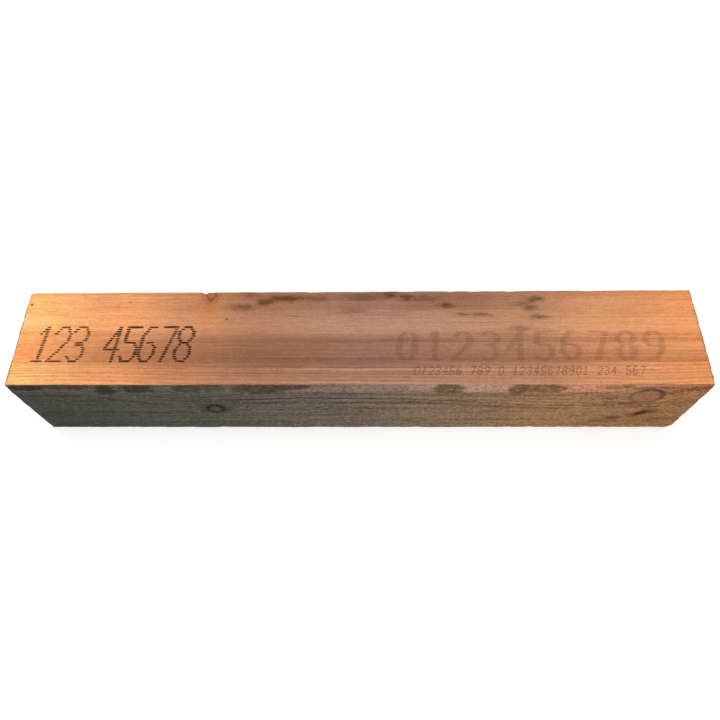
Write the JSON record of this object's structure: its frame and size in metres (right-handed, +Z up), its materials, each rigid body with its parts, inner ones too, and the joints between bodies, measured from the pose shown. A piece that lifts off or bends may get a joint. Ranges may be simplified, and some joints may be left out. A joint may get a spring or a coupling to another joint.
{
  "type": "squared timber beam",
  "caption": "Short squared softwood beam with square-cut ends, eased arrises, a shallow wane along one edge and a broken-out knot.",
  "frame": {"origin": "centre of the underside, on the floor that the beam lies on", "axes": "+X along the grain from the left end cut to the right end cut, +Y from the weathered front face to the back face, +Z up to the bright top face"},
  "size_m": [0.6, 0.095, 0.095],
  "materials": {
    "sawn_softwood": "planed softwood, warm and bright on top, weathered grey-green to brown on the front"
  },
  "bodies": {
    "root": {"timber_beam": "sawn_softwood"}
  },
  "joints": []
}
